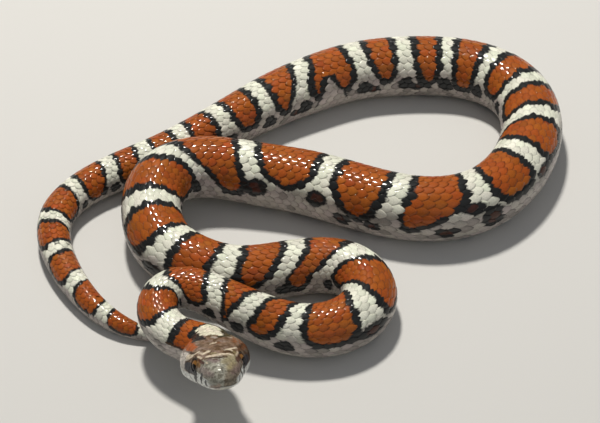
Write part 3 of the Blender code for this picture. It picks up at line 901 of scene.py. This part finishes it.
def scale_template():
    """A scale of unit half sizes: length, width, crown height, 1 on the rim, and its faces."""
    angle = np.arange(SCALE_SIDES) / SCALE_SIDES * 2 * math.pi
    u = np.sign(np.cos(angle)) * np.abs(np.cos(angle)) ** (2 / SCALE_POWER)
    v = np.sign(np.sin(angle)) * np.abs(np.sin(angle)) ** (2 / SCALE_POWER)
    rows = [(0.0, 0.0, 1.0, 0.0)]
    for part, height in SCALE_LEVELS:
        rows += [(a * part, b * part, height, part) for a, b in zip(u, v)]
    rows += [(a, b, None, 1.0) for a, b in zip(u, v)]
    rows.append((0.0, 0.0, None, 0.0))
    faces = []
    n = SCALE_SIDES
    levels = len(SCALE_LEVELS)
    for k in range(n):
        j = (k + 1) % n
        faces.append((0, 1 + j, 1 + k))
        for level in range(levels):
            a, b = 1 + level * n, 1 + (level + 1) * n
            faces.append((a + k, a + j, b + j))
            faces.append((a + k, b + j, b + k))
        bottom = 1 + levels * n
        faces.append((bottom + n, bottom + k, bottom + j))
    return rows, np.array(faces)


def thinned(s):
    """1 on the body, less toward the tip of the tail."""
    return np.clip(along(np.maximum(s, 0), 3) / FULL_GIRTH, 0.12, 1)


def bake_root(s, across):
    """Where the small patch of a scale lies in the bake map."""
    return np.stack([(s + UV_LEAD) / (BODY_LENGTH + UV_ROOM), across], axis=-1)


def lay_plates(name, s, turn, half_front, half_rear, half_turn, material, seed):
    """Closed thin scales laid on the surface, as one mesh."""
    rng = np.random.default_rng(seed)
    rows, faces = scale_template()
    u = np.array([row[0] for row in rows])
    v = np.array([row[1] for row in rows])
    under = np.array([row[2] is None for row in rows])
    crown = np.array([row[2] if row[2] is not None else SCALE_LEVELS[-1][1] for row in rows])
    rim = np.array([row[3] for row in rows])
    small = thinned(s)
    reach = np.where(u > 0, half_rear[:, None], half_front[:, None])
    lengthwise = u * reach
    crosswise = v * half_turn[:, None]
    ramp = SCALE_RAMP * lengthwise / pitch(s)[:, None]
    tilt = rng.normal(0, 0.012, (len(s), 1)) * v
    lift = (-SCALE_SINK + ramp + SCALE_CROWN * crown - SCALE_THICK * under + tilt) * small[:, None]
    points = place(s[:, None] + lengthwise, turn[:, None] + crosswise, lift)

    one_each = np.ones((1, len(rows)))
    tint_s = s[:, None] + TINT_FOLLOW * lengthwise + rng.normal(0, 0.12, (len(s), 1)) * one_each
    tint_turn = turn[:, None] + TINT_FOLLOW * crosswise + rng.normal(0, 0.012, (len(s), 1)) * one_each
    chance = rng.random((len(s), 1)) * one_each
    colours = skin_tint(tint_s.ravel(), tint_turn.ravel(), chance.ravel()).reshape(len(s), -1, 3)
    pale = colours.min(axis=-1) > 0.3
    # Painted shade at each scale's rim where it meets its neighbours, lighter on pale scales; then a
    # random tone per scale and the scales' own dark tips
    shade = 1 - np.where(pale, 0.16, 0.32) * blend(0.70, 1.0, rim)[None]
    shade *= 1 + rng.normal(0, 0.08, (len(s), 1))
    tip = blend(0.45, 1.0, u)[None] * rng.random((len(s), 1)) ** 2
    shade *= 1 - 0.55 * tip
    colours = colours * shade[..., None]
    strong = 1 - colours.min(axis=-1) / np.maximum(colours.max(axis=-1), 0.001)
    colours[..., 1] *= 1 + 0.10 * strong * np.clip(rng.normal(0, 1, (len(s), 1)), -2, 2)

    size = len(rows)
    faces = (faces[None] + (np.arange(len(s)) * size)[:, None, None]).reshape(-1, 3)
    first = points[0]
    corner = first[faces[:len(faces) // len(s)]]
    one, two, three = (corner[:, k] - first[0] for k in range(3))
    if (one * np.cross(two, three)).sum() < 0:
        faces = faces[:, ::-1]
    root = bake_root(s, 0.5 + turn / (2.1 * math.pi))
    patch = np.stack([u, v], axis=-1) * 0.0015
    uv = (root[:, None, :] + patch[None]).reshape(-1, 2)
    tint = colours.reshape(-1, 3).clip(0, 1)
    obj = add_mesh(name, points.reshape(-1, 3), [faces], material, tint, None, uv)
    return obj


def stretch(s, turn):
    """How much longer the surface is than the backbone at this turn, from the bend of the course."""
    step = 1.0
    there = place(np.maximum(s, 0) + step, turn, 0.0)
    here = place(np.maximum(s, 0), turn, 0.0)
    return np.linalg.norm(there - here, axis=-1) / step


def build_scales(material):
    """The small scales, in staggered rows from behind the head's shields to the tail tip."""
    rings = pitch_steps()
    all_s, all_turn, all_half = [], [], []
    for start, end, count in ROW_ZONES:
        width = BACK_SWEEP / count
        here = rings[(rings >= start) & (rings < end)]
        rows = (np.arange(count) - (count - 1) / 2) * width
        if start < 0:
            extra = rows[-1] + width * np.arange(1, EXTRA_ROWS + 1)
            rows = np.concatenate([rows, extra, -extra])
        for k, row in enumerate(rows):
            order = int(round(row / width + (count - 1) / 2))
            s = here + (order % 2) * pitch(here) / 2
            if abs(row) > BACK_SWEEP / 2:
                s = s[s < -0.5]
            all_s.append(s)
            all_turn.append(np.full(len(s), math.radians(row)))
            all_half.append(np.full(len(s), math.radians(width) * SCALE_HALF_WIDTH))
    s, turn, half_turn = (np.concatenate(parts) for parts in (all_s, all_turn, all_half))
    q = round_of(np.maximum(-s, 0), turn)
    keep = (s > -(scale_limit(q) - 0.2)) & (s < BODY_LENGTH - 0.6)
    s, turn, half_turn = s[keep], turn[keep], half_turn[keep]
    order = np.argsort(s, kind="stable")
    s, turn, half_turn = s[order], turn[order], half_turn[order]

    gap = pitch(s)
    limit = np.minimum(1, 1.3 / np.maximum(stretch(s, turn), 0.2))
    bounds = np.linspace(0, len(s), SCALE_PIECES + 1).astype(int)
    for k in range(SCALE_PIECES):
        part = slice(bounds[k], bounds[k + 1])
        front, rear = (gap * SCALE_FRONT * limit)[part], (gap * SCALE_REAR * limit)[part]
        name = f"scales_{k + 1}"
        lay_plates(name, s[part], turn[part], front, rear, half_turn[part], material, SCALE_SEED + k)


SCUTE_TURN = 52.0         # half the turn that a belly scute covers
SCUTE_COLUMNS = 18
SCUTE_ROWS = 5
SCUTE_REACH = (-0.55, 0.66)   # ahead of and behind its middle, in pitches
SCUTE_EDGE = 0.05             # off this middle, the ends of a scute are dropped and darkened as painted shade where they tuck under
SCUTE_THICK = 0.12
SCUTE_GAP = 1.0               # half the turn between the two halves behind the vent
SCUTE_PALE_TURN = 132         # turn past which the belly has its own colours
VENT = 470.0


def build_scutes(material):
    """Wide belly scutes, one to each ring of scales, divided in two behind the vent."""
    rng = np.random.default_rng(5)
    rings = pitch_steps()
    rings = rings[(rings > -0.8) & (rings < BODY_LENGTH - 1.0)]
    points, faces, tints, uvs = [], [], [], []
    total = 0
    for ring in rings:
        gap = float(pitch(ring))
        spans = [(-SCUTE_TURN, SCUTE_TURN)]
        if ring >= VENT:
            spans = [(-SCUTE_TURN, -SCUTE_GAP), (SCUTE_GAP, SCUTE_TURN)]
        for low, high in spans:
            columns = SCUTE_COLUMNS if len(spans) == 1 else SCUTE_COLUMNS // 2
            v = np.linspace(0, 1, columns)
            u = np.linspace(*SCUTE_REACH, SCUTE_ROWS)
            vv, uu = np.meshgrid(v, u)
            bow = 1 - (2 * vv - 1) ** 2
            turn = np.radians(180 + low + (high - low) * vv)
            behind = gap * (uu * (0.55 + 0.45 * bow) + 0.10 * bow)
            s = np.clip(ring + behind, 0.02, BODY_LENGTH - 0.05)
            small = thinned(ring)
            outer = (-0.10 + 0.12 * uu - 0.03 * (np.abs(uu - SCUTE_EDGE) > 0.5)) * small
            turn = np.where(turn > math.pi, turn - 2 * math.pi, turn)
            top = body_place(s, turn, outer)
            bottom = body_place(s, turn, outer - SCUTE_THICK * small)
            size = top.shape[0] * top.shape[1]
            grid = np.arange(size).reshape(SCUTE_ROWS, columns)
            quads = np.stack([grid[:-1, :-1], grid[:-1, 1:], grid[1:, 1:], grid[1:, :-1]], axis=-1)
            quads = quads.reshape(-1, 4)
            edge = np.concatenate([grid[0, :-1], grid[:-1, -1], grid[-1, :0:-1], grid[:0:-1, 0]])
            nxt = np.roll(edge, -1)
            sides = np.stack([edge, edge + size, nxt + size, nxt], axis=-1)
            faces.append(np.vstack([quads, quads[:, ::-1] + size, sides]) + total)
            points += [top.reshape(-1, 3), bottom.reshape(-1, 3)]
            degrees = np.degrees(turn.ravel())
            tint = body_tint(np.full(size, ring), degrees, np.full(size, rng.random()))
            checks = np.repeat(rng.random(4) > 0.68, 5)[:columns]
            under = np.abs(degrees) > SCUTE_PALE_TURN
            tint[under] = BELLY_PALE
            tint[np.tile(checks, SCUTE_ROWS) & under] = np.array(BLACK) * 2
            # Painted shade at the ends of each scute, where the next one overlaps
            tint *= (1 - 0.25 * (np.abs(uu.ravel() - SCUTE_EDGE) > 0.58))[:, None]
            tints += [tint, tint]
            root = bake_root(ring, 0.02)
            patch = np.stack([uu.ravel(), vv.ravel() - 0.5], axis=-1) * 0.003
            uvs += [root + patch, root + patch]
            total += 2 * size
    points = np.vstack(points)
    faces = np.vstack(faces)
    first = points[faces[:1]][0]
    normal = np.cross(first[1] - first[0], first[2] - first[0])
    if normal[2] > 0:
        faces = faces[:, ::-1]
    tint = np.vstack(tints).clip(0, 1)
    obj = add_mesh("scutes", points, [faces], material, tint, None, np.vstack(uvs))
    return obj


def fill_inputs(material, node, values):
    """Put each value in the node's input, or join the input to it where it is an output."""
    for key, value in values.items():
        if isinstance(value, bpy.types.NodeSocket):
            material.node_tree.links.new(value, node.inputs[key])
        else:
            node.inputs[key].default_value = value


def start_material(name, values):
    """A new material and its shader, with these values in the shader's inputs."""
    material = bpy.data.materials.new(name)
    material.use_nodes = True
    shader = material.node_tree.nodes["Principled BSDF"]
    fill_inputs(material, shader, values)
    return material, shader


def add_node(material, kind, values=None, **settings):
    """A shader node with these settings and inputs."""
    node = material.node_tree.nodes.new("ShaderNode" + kind)
    for key, value in settings.items():
        setattr(node, key, value)
    fill_inputs(material, node, values or {})
    return node


def remap(material, value, before, after):
    """A node's output taken from one range of values to another."""
    ends = {"From Min": before[0], "From Max": before[1], "To Min": after[0], "To Max": after[1]}
    return add_node(material, "MapRange", {"Value": value, **ends}).outputs["Result"]


# Glossy skins: roughness, coat, specular, scale of the specks, height and scale of the unevenness
SKIN_FINISH = (0.42, 0.30, 0.06, 900.0, 0.015, 3200.0)
SCALE_FINISH = (0.42, 0.60, 0.06, 700.0, 0.010, 2600.0)
SCUTE_FINISH = (0.38, 0.25, 0.15, 700.0, 0.012, 2600.0)
SPECK_COLOUR = (0.30, 0.26, 0.22, 1.0)


def skin_material(name, finish):
    """Glossy scaly skin: the mesh's tint, broken up by fine specks, on a faintly uneven surface."""
    roughness, coat, specular, speck_scale, bump_height, bump_scale = finish
    material, shader = start_material(name, {
        "Roughness": roughness,
        "Coat Weight": coat,
        "Coat Roughness": 0.05,
        "Coat IOR": 1.42,
        "Specular IOR Level": specular,
    })
    spot = add_node(material, "TexCoord").outputs["Object"]
    tint = add_node(material, "Attribute", attribute_name="tint").outputs["Color"]
    speck = add_node(material, "Attribute", attribute_name="speck").outputs["Fac"]

    texture = {"Vector": spot, "Scale": speck_scale, "Detail": 5.0, "Roughness": 0.65}
    patches = add_node(material, "TexNoise", texture).outputs["Fac"]
    dark = remap(material, patches, (0.47, 0.60), (0, 1))
    amount = add_node(material, "Math", {0: dark, 1: speck}, operation="MULTIPLY").outputs[0]
    mixed = {"Factor": amount, "A": tint, "B": SPECK_COLOUR}
    mottled = add_node(material, "Mix", mixed, data_type="RGBA", blend_type="MULTIPLY")

    texture = {"Vector": spot, "Scale": bump_scale, "Detail": 3.0}
    fine = add_node(material, "TexNoise", texture).outputs["Fac"]
    shade = remap(material, fine, (0.3, 0.7), (0.86, 1.10))
    scaled = {0: mottled.outputs["Result"], "Scale": shade}
    uneven = add_node(material, "VectorMath", scaled, operation="SCALE")
    bump = add_node(material, "Bump", {"Strength": 1.0, "Distance": bump_height * MM, "Height": fine})
    fill_inputs(material, shader, {
        "Base Color": uneven.outputs["Vector"],
        "Roughness": remap(material, patches, (0.35, 0.65), (roughness - 0.05, roughness + 0.08)),
        "Normal": bump.outputs["Normal"],
    })
    return material


PUPIL = 0.95
IRIS = 1.75
# The eye's colours from the middle of the pupil to the iris's edge
EYE_STOPS = [
    (PUPIL / IRIS - 0.04, (0.006, 0.005, 0.004, 1)),
    (PUPIL / IRIS + 0.02, (0.26, 0.12, 0.030, 1)),
    (0.80, (0.24, 0.11, 0.030, 1)),
    (0.95, (0.06, 0.028, 0.012, 1)),
    (1.0, (0.012, 0.009, 0.008, 1)),
]
EYE_RINGS = 40
EYE_SEGMENTS = 56


def eye_material():
    """A wet amber eye with a round pupil, drawn round the eye's own forward axis."""
    material, shader = start_material("eye", {
        "Roughness": 0.12,
        "Coat Weight": 0.25,
        "Coat Roughness": 0.02,
        "Coat IOR": 1.25,
        "Specular IOR Level": 0.05,
    })
    spot = add_node(material, "TexCoord").outputs["Object"]
    apart = add_node(material, "SeparateXYZ", {"Vector": spot}).outputs
    flat = add_node(material, "CombineXYZ", {"X": apart["Y"], "Y": apart["Z"]}).outputs["Vector"]
    away = add_node(material, "VectorMath", {0: flat}, operation="LENGTH").outputs["Value"]
    texture = {"Vector": spot, "Scale": 3800.0, "Detail": 2.0}
    streaks = add_node(material, "TexNoise", texture).outputs["Fac"]
    spread = remap(material, streaks, (0, 1), (-0.12, 0.12))
    summed = {0: away, 1: 1 / (IRIS * MM), 2: spread}
    part = add_node(material, "Math", summed, operation="MULTIPLY_ADD")
    ramp = add_node(material, "ValToRGB", {"Fac": part.outputs[0]})
    stops = ramp.color_ramp.elements
    stops[0].position, stops[0].color = EYE_STOPS[0]
    stops[1].position, stops[1].color = EYE_STOPS[-1]
    for position, colour in EYE_STOPS[1:-1]:
        stops.new(position).color = colour
    fill_inputs(material, shader, {"Base Color": ramp.outputs["Color"]})
    return material


def build_eye(side, material):
    """A finer eye, its own X axis pointing out of the head through the pupil."""
    ahead, out, rise = EYE_AIM
    outward = Vector(FORWARD * ahead + LEFT * side * out + UP * rise).normalized()
    middle = head_spot(EYE_SHOWN, side) + SHIFT
    name = "eyeball_left" if side > 0 else "eyeball_right"
    polar = math.pi * np.arange(1, EYE_RINGS)[:, None] / EYE_RINGS
    turn = 2 * math.pi * np.arange(EYE_SEGMENTS)[None] / EYE_SEGMENTS
    level = np.cos(polar) * np.ones(turn.shape)
    shell = np.stack([level, np.sin(polar) * np.cos(turn), np.sin(polar) * np.sin(turn)], axis=-1)
    points = np.vstack([[1, 0, 0], shell.reshape(-1, 3), [-1, 0, 0]]) * EYE_SHOWN_RADIUS * MM
    rings = 1 + np.arange(len(points) - 2).reshape(EYE_RINGS - 1, EYE_SEGMENTS)
    after = np.roll(rings, -1, axis=1)
    faces = [(0, a, b) for a, b in zip(rings[0], after[0])]
    faces += [(len(points) - 1, b, a) for a, b in zip(rings[-1], after[-1])]
    faces += np.stack([rings[:-1], rings[1:], after[1:], after[:-1]], axis=-1).reshape(-1, 4).tolist()
    mesh = bpy.data.meshes.new(name)
    mesh.from_pydata(points.tolist(), [], [[int(k) for k in face] for face in faces])
    mesh.shade_smooth()
    mesh.materials.append(material)
    obj = bpy.data.objects.new(name, mesh)
    facing = outward.to_track_quat("X", "Z").to_matrix().to_4x4()
    obj.matrix_world = Matrix.Translation(Vector(middle) * MM) @ facing
    bpy.context.collection.objects.link(obj)
    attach(obj, "root")
    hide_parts("eye_left" if side > 0 else "eye_right")
    return obj


FLOOR_HALF = 3.0
FLOOR_COLOUR = (0.70, 0.69, 0.665, 1.0)
SKY_COLOUR = (0.93, 0.96, 1.0, 1.0)
SKY_STRENGTH = 0.20
# Lamps: name, place, size, power, colour
LAMPS = [
    ("key", (-0.12, 0.42, 0.90), 0.12, 9.0, (1.0, 0.965, 0.90)),
    ("fill", (0.5, -0.7, 0.6), 1.2, 0.8, (0.95, 0.97, 1.0)),
]


def build_floor():
    """A plain floor to stand on, part of the staging only."""
    mesh = bpy.data.meshes.new("floor")
    half = FLOOR_HALF
    corners_there = [(-half, -half, 0), (half, -half, 0), (half, half, 0), (-half, half, 0)]
    mesh.from_pydata(corners_there, [], [(0, 1, 2, 3)])
    material, _ = start_material("floor", {"Base Color": FLOOR_COLOUR, "Roughness": 0.9})
    mesh.materials.append(material)
    floor = bpy.data.objects.new("floor", mesh)
    bpy.context.collection.objects.link(floor)


def add_lamp(name, place_at, size, power, colour):
    """A round lamp that points at the middle of the floor."""
    data = bpy.data.lights.new(name, "AREA")
    data.shape = "DISK"
    data.size = size
    data.energy = power
    data.color = colour
    lamp = bpy.data.objects.new(name, data)
    lamp.location = place_at
    lamp.rotation_euler = (-Vector(place_at)).to_track_quat("-Z", "Y").to_euler()
    bpy.context.collection.objects.link(lamp)


def light_scene():
    """A small strong sun from behind, a soft fill and a dim sky."""
    world = bpy.data.worlds.new("studio")
    world.use_nodes = True
    sky = world.node_tree.nodes["Background"]
    sky.inputs["Color"].default_value = SKY_COLOUR
    sky.inputs["Strength"].default_value = SKY_STRENGTH
    bpy.context.scene.world = world
    bpy.context.scene.view_settings.view_transform = "Standard"
    for lamp in LAMPS:
        add_lamp(*lamp)


# The photo's camera: how far off, how far above the level, and its lens
CAMERA_DISTANCE = 0.518
CAMERA_RISE = math.radians(42.0)
LENS = 111.0
SENSOR = 36.0


def set_camera():
    data = bpy.data.cameras.new("camera")
    data.lens = LENS
    data.sensor_width = SENSOR
    data.clip_start = 0.01
    camera = bpy.data.objects.new("camera", data)
    aim = Vector(SHIFT) * MM
    level = math.cos(CAMERA_RISE)
    camera.location = aim + CAMERA_DISTANCE * Vector((0, -level, math.sin(CAMERA_RISE)))
    camera.rotation_euler = (math.pi / 2 - CAMERA_RISE, 0, 0)
    bpy.context.collection.objects.link(camera)
    bpy.context.scene.camera = camera


set_camera()
build_skin(skin_material("skin", SKIN_FINISH))
build_scales(skin_material("scales", SCALE_FINISH))
build_scutes(skin_material("scutes", SCUTE_FINISH))
eye_finish = eye_material()
for eye_side in (1, -1):
    build_eye(eye_side, eye_finish)
build_floor()
light_scene()
